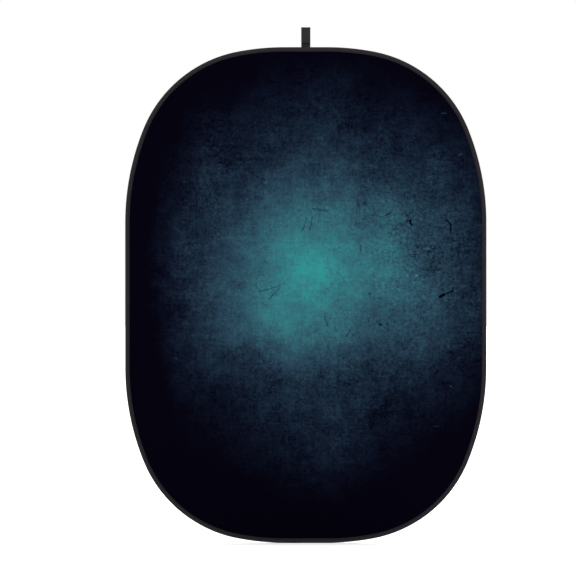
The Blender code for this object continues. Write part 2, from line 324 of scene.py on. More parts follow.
class Shader:
    """A Principled material under construction, with arithmetic on its sockets."""

    def __init__(self, name):
        self.material = bpy.data.materials.new(name)
        self.material.use_nodes = True
        self.tree = self.material.node_tree
        self.shader = self.tree.nodes["Principled BSDF"]

    def feed(self, socket, value):
        if isinstance(value, bpy.types.NodeSocket):
            self.tree.links.new(value, socket)
        else:
            socket.default_value = value

    def node(self, kind, **settings):
        made = self.tree.nodes.new(kind)
        for key, value in settings.items():
            setattr(made, key, value)
        return made

    def math(self, operation, *values, clamp=False):
        made = self.node("ShaderNodeMath", operation=operation, use_clamp=clamp)
        for socket, value in zip(made.inputs, values):
            self.feed(socket, value)
        return made.outputs[0]

    def add(self, *values):
        total = values[0]
        for value in values[1:]:
            total = self.math("ADD", total, value)
        return total

    def times(self, *values):
        total = values[0]
        for value in values[1:]:
            total = self.math("MULTIPLY", total, value)
        return total

    def uv(self):
        made = self.node("ShaderNodeUVMap", uv_map="rest")
        split = self.node("ShaderNodeSeparateXYZ")
        self.tree.links.new(made.outputs[0], split.inputs[0])
        return split.outputs[0], split.outputs[1]

    def vector(self, x, y, z=0.0):
        made = self.node("ShaderNodeCombineXYZ")
        for socket, value in zip(made.inputs, (x, y, z)):
            self.feed(socket, value)
        return made.outputs[0]

    def noise(self, x, y, scale, detail=2.0, roughness=0.5, offset=0.0):
        """Noise about zero, with its coarsest features about 1/scale metres across."""
        made = self.node("ShaderNodeTexNoise", noise_dimensions="3D")
        self.feed(made.inputs["Vector"], self.vector(x, y, offset))
        made.inputs["Scale"].default_value = scale
        made.inputs["Detail"].default_value = detail
        made.inputs["Roughness"].default_value = roughness
        return self.math("SUBTRACT", made.outputs[0], 0.5)

    def smooth(self, value, low, high):
        made = self.node("ShaderNodeMapRange", interpolation_type="SMOOTHSTEP")
        self.feed(made.inputs["Value"], value)
        made.inputs["From Min"].default_value = low
        made.inputs["From Max"].default_value = high
        return made.outputs[0]

    def ramp(self, value, stops):
        made = self.node("ShaderNodeValToRGB")
        ramp = made.color_ramp
        while len(ramp.elements) < len(stops):
            ramp.elements.new(0.5)
        for element, (position, colour) in zip(ramp.elements, stops):
            element.position = position
            element.color = (*to_linear(colour), 1.0)
        self.feed(made.inputs[0], value)
        return made.outputs[0]

    def object_place(self):
        """Coordinates for a piece that has no UV map."""
        made = self.node("ShaderNodeTexCoord")
        split = self.node("ShaderNodeSeparateXYZ")
        self.tree.links.new(made.outputs["Object"], split.inputs[0])
        return split.outputs

    def bent(self, x, y, scale, detail, amount, offsets):
        """The same coordinates pushed about smoothly, so that what is drawn on them wanders."""
        return [self.add(at, self.times(self.noise(x, y, scale, detail, 0.6, offset), amount))
                for at, offset in zip((x, y), offsets)]

    def streaks(self, x, y, long, fine):
        """Long thin noise both ways, about zero, as from uneven threads."""
        level = self.noise(self.times(x, long), self.times(y, fine), 1.0, 2, 0.6, 2.2)
        upright = self.noise(self.times(x, fine), self.times(y, long), 1.0, 2, 0.6, 4.4)
        return self.add(level, upright)

    def paint(self, colour, shade):
        """Base colour: a linear colour, or a socket, times a shade."""
        made = self.node("ShaderNodeVectorMath", operation="SCALE")
        self.feed(made.inputs[0], colour)
        self.feed(made.inputs["Scale"], shade)
        self.tree.links.new(made.outputs[0], self.shader.inputs["Base Color"])

    def bump(self, height, distance, strength=1.0):
        made = self.node("ShaderNodeBump")
        made.inputs["Strength"].default_value = strength
        made.inputs["Distance"].default_value = distance
        self.feed(made.inputs["Height"], height)
        self.tree.links.new(made.outputs[0], self.shader.inputs["Normal"])

    def finish(self, roughness, specular, metallic=0.0):
        self.feed(self.shader.inputs["Roughness"], roughness)
        self.shader.inputs["Specular IOR Level"].default_value = specular
        self.shader.inputs["Metallic"].default_value = metallic
        return self.material


def to_linear(colour):
    """Linear colour of three display channels from 0 to 255."""
    shares = [channel / 255 for channel in colour]
    return [c / 12.92 if c <= 0.04045 else ((c + 0.055) / 1.055) ** 2.4 for c in shares]


def weave(shader, x, y, pitch):
    """Plain weave: threads that cross over and under each other, about zero."""
    turn = 2 * math.pi / pitch
    across = shader.math("SINE", shader.times(x, turn))
    along = shader.math("SINE", shader.times(y, turn))
    return shader.times(across, along)


# ---------------------------------------------------------------- materials

PRINT_LEVELS = (  # brightness of the print, and its colour there
    (0, (1, 0, 11)), (12, (7, 12, 28)), (22, (13, 22, 38)), (40, (24, 40, 56)),
    (66, (39, 66, 83)), (98, (48, 98, 109)), (127, (48, 127, 132)), (142, (46, 142, 140)),
)
PRINT_TOP = 142.0
PRINT_ALBEDO = 0.59  # share of its displayed brightness that the cloth reflects
PRINT_PITCH = 0.9 * MM  # of the woven threads
PRINT_WEAVE = 0.14
MOTTLE, GRAIN, STREAKS = 135.0, 50.0, 16.0  # strength of each kind of detail, in levels
SPECK, PIT, CRACK = -20.0, -20.0, -20.0
DETAIL_FADE = (-8.0, 24.0)  # levels between which the detail comes in
WORN_BASE, WORN_PATCHES = 0.75, 0.7
GLOW_FLOOR = -15.0
# Strength, centre x and z, and spread in x and z, in metres. A fit gave these.
GLOWS = (
    (51.0, 0.016, 1.121, 0.363, 0.837), (86.0, -0.012, 1.125, 0.380, 0.365),
    (53.0, 0.524, 1.153, 0.318, 0.603), (23.0, -0.451, 1.104, 0.216, 0.766),
)
BLOTCHES = (  # the same for the paler and darker patches on the glow
    (16.0, -0.14, 0.90, 0.20, 0.12), (-12.0, 0.12, 0.73, 0.22, 0.10), (-8.0, -0.18, 0.66, 0.15, 0.09),
    (8.0, 0.10, 1.74, 0.10, 0.13), (11.0, 0.38, 1.14, 0.10, 0.07), (-8.0, -0.25, 1.15, 0.15, 0.15),
    (10.0, 0.34, 1.40, 0.10, 0.08), (-8.0, 0.50, 1.25, 0.12, 0.12), (7.0, 0.10, 0.38, 0.22, 0.16),
    (-10.0, 0.33, 0.99, 0.07, 0.06), (10.0, 0.50, 0.99, 0.07, 0.07), (6.0, -0.36, 1.68, 0.13, 0.11),
    (-10.0, -0.25, 1.63, 0.08, 0.07), (7.0, -0.12, 1.47, 0.10, 0.08), (-12.0, 0.28, 1.47, 0.10, 0.07),
    (-9.0, 0.20, 1.30, 0.12, 0.08), (-7.0, 0.55, 1.10, 0.08, 0.14), (-11.0, -0.25, 0.80, 0.08, 0.08),
    (-7.0, 0.02, 0.96, 0.10, 0.08),
)
WORN_SPOTS = (  # the same for where the mottling is strongest, as a share of its usual strength
    (1.7, 0.46, 1.18, 0.24, 0.30), (1.2, 0.34, 1.24, 0.06, 0.05),
    (0.5, 0.00, 0.62, 0.34, 0.16), (0.4, -0.38, 1.62, 0.20, 0.16),
)
MARKS = (  # half width in millimetres, change of level, and the points x, z of each mark
    (2.7, -42, ((-0.085, 1.080), (-0.121, 1.063), (-0.173, 1.048), (-0.197, 1.042))),
    (3.0, -48, ((-0.105, 1.060), (-0.133, 1.032), (-0.153, 1.012))),
    (2.2, -31, ((-0.121, 1.034), (-0.125, 1.020))),
    (2.7, -45, ((0.002, 1.348), (-0.003, 1.320), (-0.017, 1.294))),
    (3.0, -48, ((0.026, 1.354), (0.023, 1.324), (0.015, 1.300))),
    (2.4, -31, ((0.007, 1.345), (0.011, 1.328))),
    (3.0, -48, ((0.027, 1.388), (0.067, 1.383), (0.091, 1.378))),
    (2.4, -36, ((0.034, 1.380), (0.064, 1.376))),
    (4.5, -56, ((0.332, 1.360), (0.352, 1.370))),
    (2.7, -31, ((0.211, 1.417), (0.223, 1.389))),
    (2.4, -28, ((0.251, 1.433), (0.242, 1.405))),
    (3.0, -36, ((0.228, 1.235), (0.228, 1.205))),
    (2.7, -36, ((0.077, 0.954), (0.080, 0.930), (0.089, 0.902))),
    (2.7, -39, ((0.185, 0.889), (0.169, 0.857))),
    (2.4, -34, ((0.201, 0.869), (0.188, 0.850))),
    (2.7, -31, ((0.121, 0.898), (0.125, 0.878))),
    (5.1, -39, ((0.263, 1.034), (0.267, 1.033))),
    (5.4, -48, ((0.305, 0.907), (0.314, 0.904))),
    (4.2, -36, ((0.221, 0.854), (0.223, 0.853))),
    (6.3, -78, ((0.434, 1.338), (0.436, 1.320))),
    (3.6, -70, ((0.584, 1.343), (0.604, 1.318), (0.598, 1.287))),
    (7.5, -78, ((0.557, 1.021), (0.573, 1.030))),
    (3.6, -62, ((0.575, 1.031), (0.609, 1.046), (0.613, 1.060))),
    (2.1, -28, ((0.611, 1.258), (0.660, 1.236), (0.710, 1.229))),
    (2.1, -25, ((0.621, 1.237), (0.644, 1.160), (0.652, 1.091))),
    (5.4, 56, ((0.457, 1.110), (0.461, 1.110))),
    (4.5, 36, ((0.422, 1.108), (0.425, 1.108))),
    (3.3, 36, ((0.562, 1.783), (0.582, 1.785))),
    (4.2, 42, ((0.636, 1.606), (0.646, 1.614))),
    (4.2, 36, ((0.600, 0.652), (0.608, 0.646))),
    (3.3, 31, ((0.532, 0.484), (0.550, 0.485))),
    (4.5, 31, ((-0.506, 1.500), (-0.503, 1.500))),
    (4.5, 31, ((-0.540, 0.767), (-0.537, 0.766))),
)

BLACK = (22, 22, 24)
BLACK_PITCH = 0.8 * MM
CREASE_RINGS = ((0.04, 1.03, 0.46), (-0.10, 0.58, 0.47), (0.08, 1.50, 0.44))  # centre and radius
CREASE_WIDTH = 16.0 * MM
WRAP_COLOUR = (214, 210, 200)
WRAP_PITCH = 0.6 * MM
TWIST_PITCH = 0.7 * MM


def lobes(shader, x, z, rows, base):
    """Sum of soft round lobes on a base value."""
    total = base
    for strength, centre_x, centre_z, spread_x, spread_z in rows:
        off_x = shader.math("DIVIDE", shader.math("SUBTRACT", x, centre_x), spread_x)
        off_z = shader.math("DIVIDE", shader.math("SUBTRACT", z, centre_z), spread_z)
        square = shader.add(shader.times(off_x, off_x), shader.times(off_z, off_z))
        lobe = shader.math("EXPONENT", shader.times(square, -1.0))
        total = shader.add(shader.times(lobe, strength), total)
    return total


def line_gap(shader, x, z, start, end):
    """Distance to the line between two points."""
    run_x, run_z = end[0] - start[0], end[1] - start[1]
    length_square = run_x ** 2 + run_z ** 2
    off_x = shader.math("SUBTRACT", x, start[0])
    off_z = shader.math("SUBTRACT", z, start[1])
    share = shader.math("ADD", shader.times(off_x, run_x / length_square),
                        shader.times(off_z, run_z / length_square), clamp=True)
    gap_x = shader.math("SUBTRACT", off_x, shader.times(share, run_x))
    gap_z = shader.math("SUBTRACT", off_z, shader.times(share, run_z))
    return shader.math("SQRT", shader.add(shader.times(gap_x, gap_x), shader.times(gap_z, gap_z)))


def mark(shader, x, z, half_width, change, points):
    """Change of level by one scratch or fleck: full on its line, and gone a half width away."""
    gaps = [line_gap(shader, x, z, a, b) for a, b in zip(points, points[1:])]
    gap = gaps[0]
    for other in gaps[1:]:
        gap = shader.math("MINIMUM", gap, other)
    return shader.times(shader.smooth(gap, half_width * MM, 0.3 * half_width * MM), change)


def make_print():
    """Mottled print: a teal glow off the middle that sinks through navy to black, over a weave."""
    shader = Shader("printed_cloth")
    x, z = shader.uv()
    wander_x, wander_z = shader.bent(x, z, 9.0, 4, 0.12, (3.1, 8.4))
    level = lobes(shader, wander_x, wander_z, GLOWS + BLOTCHES, GLOW_FLOOR)
    worn = lobes(shader, wander_x, wander_z, WORN_SPOTS, WORN_BASE)
    patch = shader.smooth(shader.noise(x, z, 5.5, 3, 0.6, 12.6), -0.10, 0.14)
    worn = shader.add(worn, shader.times(patch, WORN_PATCHES))
    mottle = shader.times(shader.noise(x, z, 5.0, 7.0, 1.0, 1.7), MOTTLE)
    grain = shader.times(shader.noise(x, z, 70.0, 3.0, 0.9, 5.2), GRAIN)
    speck = shader.smooth(shader.noise(x, z, 105.0, 2, 0.7, 6.6), 0.10, 0.26)
    pit = shader.smooth(shader.noise(x, z, 190.0, 1, 0.5, 3.6), 0.16, 0.26)
    specks = shader.add(shader.times(speck, SPECK), shader.times(pit, PIT))
    streaks = shader.times(shader.streaks(x, z, 9.0, 170.0), STREAKS)
    vein = shader.math("ABSOLUTE", shader.noise(wander_x, z, 24.0, 5, 0.65, 15.3))
    where_cracked = shader.smooth(shader.noise(x, z, 8.0, 2, 0.5, 18.8), 0.00, 0.14)
    cracks = shader.times(shader.smooth(vein, 0.020, 0.003), where_cracked, CRACK)
    detail = shader.add(
        mottle, streaks, shader.times(shader.add(grain, specks, cracks, 3.5), worn))
    level = shader.add(level, shader.times(detail, shader.smooth(level, *DETAIL_FADE)))
    bent_x, bent_z = shader.bent(x, z, 70.0, 3, 0.012, (7.7, 9.9))
    for half_width, change, points in MARKS:
        level = shader.add(level, mark(shader, bent_x, bent_z, half_width, change, points))
    share = shader.math("DIVIDE", level, PRINT_TOP, clamp=True)
    colour = shader.ramp(share, [(at / PRINT_TOP, rgb) for at, rgb in PRINT_LEVELS])
    threads = weave(shader, x, z, PRINT_PITCH)
    shade = shader.add(shader.times(threads, PRINT_WEAVE), 1.0)
    shader.paint(colour, shader.times(shade, PRINT_ALBEDO))
    slubs = shader.noise(shader.times(x, 40.0), shader.times(z, 900.0), 1.0, 1, 0.5, 1.0)
    shader.bump(shader.add(shader.times(threads, 0.7), slubs), 0.22 * MM, 0.8)
    return shader.finish(0.92, 0.02)


def ring_creases(shader, x, z):
    """Soft rings that the coiled panel leaves in its plain cloth, as a height from 0 up."""
    total = 0.0
    for centre_x, centre_z, radius in CREASE_RINGS:
        off_x = shader.math("SUBTRACT", x, centre_x)
        off_z = shader.math("SUBTRACT", z, centre_z)
        square = shader.add(shader.times(off_x, off_x), shader.times(off_z, off_z))
        gap = shader.math("SUBTRACT", shader.math("SQRT", square), radius)
        ring = shader.smooth(shader.math("ABSOLUTE", gap), CREASE_WIDTH, 0.0)
        total = shader.add(ring, total)
    return shader.times(total, shader.smooth(shader.noise(x, z, 3.0, 3, 0.6, 21.0), -0.14, 0.10))


def make_black_cloth():
    """Plain woven black cloth: uneven threads, lint, and faint rings from its stored coil, as bumps and
    as a painted highlight that lightens the colour along them.
    """
    shader = Shader("black_cloth")
    x, z = shader.uv()
    lint = shader.smooth(shader.noise(x, z, 150.0, 2.0, 0.6, 9.5), 0.20, 0.28)
    uneven = shader.add(
        shader.noise(x, z, 5.0, 6.0, 0.8, 2.0), shader.noise(x, z, 400.0, 2.0, 0.6, 5.0),
        shader.streaks(x, z, 7.0, 260.0))
    threads = weave(shader, x, z, BLACK_PITCH)
    rings = ring_creases(shader, *shader.bent(x, z, 6.0, 3, 0.03, (7.7, 9.9)))
    # the crease rings also lighten the colour: a painted highlight along the creases
    shader.paint(to_linear(BLACK), shader.add(
        shader.times(uneven, 0.8), shader.times(lint, 0.6), shader.times(threads, 0.18),
        shader.times(rings, 0.28), 1.0))
    shader.bump(shader.add(threads, shader.times(rings, 8.0)), 0.16 * MM, 0.8)
    return shader.finish(0.86, 0.12)


def make_wrap_tape():
    """Pale cloth-backed tape with a fine weave, grubby in places."""
    shader = Shader("wrap_tape")
    x, y, z = shader.object_place()
    grime = shader.noise(x, z, 60.0, 4.0, 0.6, 2.0)
    threads = weave(shader, x, shader.add(y, z), WRAP_PITCH)
    shade = shader.add(shader.times(grime, 0.3), shader.times(threads, 0.06), 1.0)
    shader.paint(to_linear(WRAP_COLOUR), shade)
    shader.bump(threads, 0.08 * MM, 0.6)
    return shader.finish(0.7, 0.3)


def make_ribbed(name, grey, rib_pitch, depth, painted_shade_across):
    """Ribbed tape or webbing, with slow changes of tone along it and painted shade across it."""
    shader = Shader(name)
    along, across = shader.uv()
    ribs = shader.math("SINE", shader.times(along, 2 * math.pi / rib_pitch))
    warp = shader.math("SINE", shader.times(across, 2 * math.pi / (1.6 * rib_pitch)))
    fuzz = shader.noise(along, across, 900.0, 3.0, 0.7, 1.3)
    slow = shader.noise(along, across, 14.0, 3.0, 0.6, 4.1)
    lint = shader.smooth(shader.noise(along, across, 260.0, 2.0, 0.6, 9.5), 0.20, 0.30)
    shade = shader.add(
        shader.times(ribs, 0.26), shader.times(warp, 0.10), shader.times(fuzz, 0.6),
        shader.times(slow, 0.35), shader.times(lint, 0.35), 1.0)
    # painted shade across the tape or webbing
    shade = shader.times(shade, painted_shade_across(shader, along, across))
    shader.paint(to_linear(grey), shade)
    relief = shader.add(shader.math("ABSOLUTE", ribs), shader.times(warp, 0.3), fuzz)
    shader.bump(relief, depth, 0.7)
    return shader.finish(0.9, 0.06)


def tape_painted_shade(shader, along, across):
    """Painted shade: darker over the flanges inside the seam, for the shadow where the tape meets the
    cloth, and at the fold round the outer edge, where the rounded edge turns away from the light.
    """
    from_edge = shader.math("ABSOLUTE", shader.math("SUBTRACT", across, TAPE_GIRTH / 2))
    # painted shade in the crevice between the tape's flanges and the cloth
    painted_flange_shade = shader.times(shader.smooth(from_edge, 14.0 * MM, 21.0 * MM), -0.45)
    # painted shade where the rounded outer edge turns away from the light
    fold = shader.times(shader.smooth(from_edge, 5.0 * MM, 1.5 * MM), -0.45)
    return shader.add(painted_flange_shade, fold, 1.0)


def webbing_painted_shade(shader, along, across):
    """Painted shade: darker at the selvedges, where their rounded edges turn away from the light, over
    the bend at the top, where along is zero, against the light from above, and in the dent that the
    bartack pulls into the webbing.
    """
    from_middle = shader.math("ABSOLUTE", across)
    half = WEBBING_WIDTH / 2
    # painted shade on the rounded selvedges
    painted_selvedge_shade = shader.times(shader.smooth(from_middle, half - 4.0 * MM, half - 1.0 * MM), -0.32)
    # painted shade over the bend at the top of the loop
    painted_bend_shade = shader.times(
        shader.smooth(shader.math("ABSOLUTE", along), 11.0 * MM, 5.0 * MM), -0.5)
    # painted shade in the dent that the bartack pulls into the webbing
    from_bartack = shader.math(
        "ABSOLUTE", shader.math("SUBTRACT", shader.math("ABSOLUTE", along), BARTACK_PLACE))
    painted_dent_shade = shader.times(shader.smooth(from_bartack, 6.5 * MM, 3.5 * MM), -0.6)
    return shader.add(painted_selvedge_shade, painted_bend_shade, painted_dent_shade, 1.0)


def make_thread(name, grey):
    """Twisted sewing thread."""
    shader = Shader(name)
    along, across = shader.uv()
    turn = 2 * math.pi / TWIST_PITCH
    twist = shader.math("SINE", shader.times(shader.add(along, across), turn))
    shader.paint(to_linear(grey), shader.add(shader.times(twist, 0.2), 1.0))
    shader.bump(twist, 0.06 * MM, 0.6)
    return shader.finish(0.6, 0.2)


def make_steel(name, grey, roughness):
    """Drawn steel strip, with fine lines along it."""
    shader = Shader(name)
    x, y, z = shader.object_place()
    lines = shader.noise(shader.times(x, 30.0), shader.times(y, 4000.0), 1.0, 3.0, 0.6, 0.0)
    spots = shader.noise(x, z, 70.0, 3.0, 0.6, 2.0)
    shade = shader.add(shader.times(lines, 0.25), shader.times(spots, 0.2), 1.0)
    shader.paint(to_linear(grey), shade)
    rough = shader.add(shader.times(spots, 0.2), roughness)
    return shader.finish(rough, 0.5, metallic=1.0)


PRINT = make_print()
BLACK_CLOTH = make_black_cloth()
# tape and webbing both get painted shade across them
TAPE = make_ribbed("edge_tape", (30, 28, 30), 1.5 * MM, 0.22 * MM, tape_painted_shade)
WEBBING = make_ribbed("webbing", (34, 34, 35), 1.7 * MM, 0.40 * MM, webbing_painted_shade)
THREAD = make_thread("thread", (9, 9, 10))
SEAM_THREAD = make_thread("seam_thread", (46, 46, 50))
SPRING_STEEL = make_steel("spring_steel", (170, 172, 176), 0.3)
FERRULE_STEEL = make_steel("ferrule_steel", (205, 205, 204), 0.28)
WRAP_TAPE = make_wrap_tape()


# ---------------------------------------------------------------- edge tape and hoop

def sweep(stations, section, ripple=0.0, drift=0.0):
    """Surface that carries a section of (depth in, y) points round the whole outline."""
    centre, normal = outline(stations)
    lift = waves(stations, TAPE_RIPPLE_WAVES, TAPE_SEED)
    sway = waves(stations, TAPE_DRIFT_WAVES, TAPE_SEED + 1)
    rows = []
    for depth, y in section:
        share = max(0.0, depth - TAPE_LOOSE_FROM) / TAPE_LOOSE_OVER
        inwards = depth + drift * share * sway
        flat = centre - normal * inwards[:, None]
        out = y + math.copysign(ripple, y) * share * lift
        rows.append(np.stack([flat[:, 0], out, flat[:, 1]], -1))
    return np.stack(rows, 1)


def section_lengths(section):
    """Distance along a section to each of its points."""
    steps = [math.dist(a, b) for a, b in zip(section, section[1:])]
    return np.concatenate([[0.0], np.cumsum(steps)])


def sweep_pieces(name, section, material, slot, **shape):
    """A section carried round the whole outline, with its faces turned outwards."""
    stations = edge_stations(SAMPLE)
    surface = sweep(stations, section, **shape)
    rows, columns = surface.shape[:2]
    faces = grid_faces(rows, columns, closed=True)[:, ::-1]
    ends = np.append(stations, stations[0] + PERIMETER)
    uvs = strip_uvs(rows, ends, section_lengths(section))[:, ::-1]
    return split_at_folds(name, surface.reshape(-1, 3), faces, uvs, material)


def make_tape():
    """Folded tape round the edge, from its rear flange over the edge to its front flange."""
    half = [(depth * MM, y * MM) for depth, y in TAPE_SECTION]
    section = [(depth, y) for depth, y in reversed(half[1:])] + [(depth, -y) for depth, y in half]
    pieces = sweep_pieces("edge_tape", section, TAPE, "edge_tape",
                          ripple=TAPE_RIPPLE, drift=TAPE_DRIFT)
    stand_for(pieces, ["binding_upper"], ["binding_left", "binding_right"], ["binding_lower"])
    return pieces


def make_hoop():
    """Flat steel strip inside the tape, with its edges rounded off."""
    outer, inner, half = (size * MM for size in HOOP_SECTION)
    flat = half - HOOP_ROUNDING
    low, high = outer + HOOP_ROUNDING, inner - HOOP_ROUNDING
    section = [(outer, flat), (outer, -flat), (low, -half), (high, -half), (inner, -flat),
               (inner, flat), (high, half), (low, half), (outer, flat)]
    pieces = sweep_pieces("hoop_strip", section, SPRING_STEEL, "spring_steel")
    stand_for(pieces, ["hoop_upper"], ["hoop_left", "hoop_right"],
              ["hoop_lower_left", "hoop_lower_right"])


# ---------------------------------------------------------------- cloths

def spread(count):
    """Shares from 0 to 1, closer together near both ends."""
    t = np.linspace(-1.0, 1.0, count)
    return (1 + 0.5 * t + 0.5 * np.sin(math.pi * t / 2)) / 2


def end_patch(level, columns, rows):
    """Rows of points that fill the bottom end of the panel up to a level, from its edge up."""
    across = spread(columns)
    up = np.linspace(0.0, 1.0, rows)
    middle = sum(length for length, _ in QUARTER[:2])
    middle += QUARTER[2][0] * PATCH_CORNER / CORNER_ARCS[1][1]
    top = right_side(level)

    def inset(along):
        point, normal = outline(along)
        return point - normal * CLOTH_INSET

    bottom = inset(-middle + 2 * middle * across)
    right = inset(middle + (top - middle) * up)
    left = right * np.array([-1.0, 1.0])
    upper = left[-1] + (right[-1] - left[-1]) * across[:, None]
    u = across[None, :, None]
    v = up[:, None, None]
    patch = (1 - v) * bottom[None] + v * upper[None] + (1 - u) * left[:, None] + u * right[:, None]
    corners = ((1 - u) * (1 - v) * bottom[0] + u * (1 - v) * bottom[-1]
               + (1 - u) * v * upper[0] + u * v * upper[-1])
    return patch - corners


def cloth_grid():
    """Points x, z of one cloth, in rows from the bottom edge to the top edge."""
    lower = end_patch(BORDERS[-1], COLUMNS, END_ROWS)
    upper = end_patch(HEIGHT - BORDERS[0], COLUMNS, END_ROWS)[::-1]
    upper = np.stack([upper[..., 0], HEIGHT - upper[..., 1]], -1)
    rows = [lower]
    for low, high in zip(BORDERS[::-1], BORDERS[-2::-1]):
        steps = max(4, round((high - low) / SAMPLE))
        for z in np.linspace(low, high, steps, endpoint=False)[1:]:
            rows.append(np.stack([lower[-1][:, 0], np.full(COLUMNS, z)], -1)[None])
        rows.append(np.stack([lower[-1][:, 0], np.full(COLUMNS, high)], -1)[None])
    return np.concatenate(rows[:-1] + [upper])


def edge_places(points):
    """Depth in from the outer edge and distance along it, for points near the edge."""
    along = np.arange(0.0, PERIMETER, EDGE_SAMPLE)
    edge, _ = outline(along)
    tree = KDTree(len(edge))
    for index, (x, z) in enumerate(edge):
        tree.insert((x, 0.0, z), index)
    tree.balance()
    found = [tree.find((x, 0.0, z)) for x, z in points]
    return np.array([f[2] for f in found]), along[np.array([f[1] for f in found])]


def slack_waves(x, z, seed):
    """Broad irregular waves of a cloth that isn't quite taut."""
    broad = np.sin(x * 5.1 + 1.2 * np.sin(z * 2.3 + seed)) * np.sin(z * 4.3 + 0.8 * x + seed)
    narrow = np.sin(9.7 * x - 3.1 * z + seed) * np.sin(7.9 * z + seed)
    return broad + 0.5 * narrow


def make_cloth(cloth, side, material, slot, seed, pucker, grid, places):
    """One stretched cloth: puckers beside the tape that fade inwards, and a slack middle."""
    depth, along = places
    x, z = grid.reshape(-1, 2).T
    pull = np.exp(-np.maximum(depth - 14 * MM, 0.0) / (45 * MM))
    groups = np.clip(0.6 + 0.9 * waves(along, PUCKER_GROUPS, seed + 3), 0.1, 1.4)
    crease = waves(along, PUCKER_WAVES, seed) * groups
    inner = 1.0 - np.exp(-np.maximum(depth - 18 * MM, 0.0) / (120 * MM))
    off = (CLOTH_DEPTH + CLOTH_CROWN * inner + pucker * crease * pull
           + CLOTH_SLACK * slack_waves(x, z, seed) * inner)
    surface = np.stack([x, side * np.maximum(off, CLOTH_MIN_DEPTH), z], -1)
    faces = grid_faces(*grid.shape[:2])
    if side == REAR:
        faces = faces[:, ::-1]
    uvs = np.stack([x, z], -1)[faces]
    pieces = split_at_folds(f"{cloth}_skin", surface, faces, uvs, material)
    stand_for(pieces, [f"{cloth}_upper"], [cloth], [f"{cloth}_lower"])
    return pieces


# ---------------------------------------------------------------- stitching

def thread_run(start, end, side_way, radius):
    """Points, quads, caps and length of one stitch: a short thread that dives at both ends."""
    start, end = np.asarray(start, float), np.asarray(end, float)
    axis = end - start
    length = np.linalg.norm(axis)
    axis = axis / length
    out = np.asarray(side_way, float)
    other = np.cross(axis, out)
    points, faces = [], []
    for share, size, sink in THREAD_RINGS:
        centre = start + axis * length * share - out * radius * sink
        for turn in range(THREAD_SIDES):
            angle = 2 * math.pi * turn / THREAD_SIDES
            points.append(centre + radius * size * (math.cos(angle) * out + math.sin(angle) * other))
    last = (len(THREAD_RINGS) - 1) * THREAD_SIDES
    for ring in range(0, last, THREAD_SIDES):
        for turn in range(THREAD_SIDES):
            a = ring + turn
            b = ring + (turn + 1) % THREAD_SIDES
            faces.append((a, b, b + THREAD_SIDES, a + THREAD_SIDES))
    caps = [range(THREAD_SIDES - 1, -1, -1), range(last, last + THREAD_SIDES)]
    return np.array(points), faces + [tuple(cap) for cap in caps], length


class ThreadMesh:
    """Many threads gathered in one mesh."""

    def __init__(self):
        self.points, self.faces, self.uvs, self.count = [], [], [], 0

    def add(self, start, end, side_way, radius=THREAD_RADIUS):
        points, faces, length = thread_run(start, end, side_way, radius)
        for face in faces:
            self.faces.append([self.count + index for index in face])
            for index in face:
                ring, turn = divmod(index, THREAD_SIDES)
                self.uvs.append((length * ring / (len(THREAD_RINGS) - 1), radius * turn))
        self.points.append(points)
        self.count += len(points)

    def build(self, name, material):
        points = place(np.concatenate(self.points))
        return new_mesh(name, points, self.faces, material, self.uvs)


def make_seam():
    """Lockstitch along the tape's inner edge, on both faces, a piece of it for each fold."""
    count = round(PERIMETER / STITCH_PITCH)
    along = np.arange(count) * PERIMETER / count
    start, start_normal = outline(along - STITCH_LENGTH / 2)
    end, end_normal = outline(along + STITCH_LENGTH / 2)
    start = start - start_normal * SEAM_INSET
    end = end - end_normal * SEAM_INSET
    owner = piece_of((start[:, 1] + end[:, 1]) / 2)
    meshes = {number: ThreadMesh() for number in range(1, FOLDS + 1)}
    for index in range(count):
        covered = abs(start[index, 0]) < WEBBING_WIDTH / 2 and start[index, 1] > HEIGHT / 2
        for side in (FRONT, REAR):
            y = TAIL_SEAM_DEPTH if side == REAR and covered else side * SEAM_DEPTH
            a = (start[index, 0], y, start[index, 1])
            b = (end[index, 0], y, end[index, 1])
            meshes[int(owner[index])].add(a, b, (0.0, float(side), 0.0))
    for number, mesh in meshes.items():
        blend_at_fold(mesh.build(f"tape_seam_{number}", SEAM_THREAD))


# ---------------------------------------------------------------- hanging loop

def smooth_path(points, step):
    """Even points on a smooth curve through the given ones."""
    points = [Vector(p) for p in points]
    ends = [2 * points[0] - points[1]] + points + [2 * points[-1] - points[-2]]
    fine = []
    for a, b, c, d in zip(ends, ends[1:], ends[2:], ends[3:]):
        for t in np.linspace(0, 1, 16, endpoint=False):
            fine.append(0.5 * ((2 * b) + (c - a) * t + (2 * a - 5 * b + 4 * c - d) * t ** 2
                               + (3 * b - a - 3 * c + d) * t ** 3))
    fine.append(points[-1])
    fine = np.array([tuple(p) for p in fine])
    lengths = np.concatenate([[0], np.cumsum(np.linalg.norm(np.diff(fine, axis=0), axis=1))])
    even = np.linspace(0, lengths[-1], max(2, round(lengths[-1] / step)))
    return np.stack([np.interp(even, lengths, column) for column in fine.T], -1), even


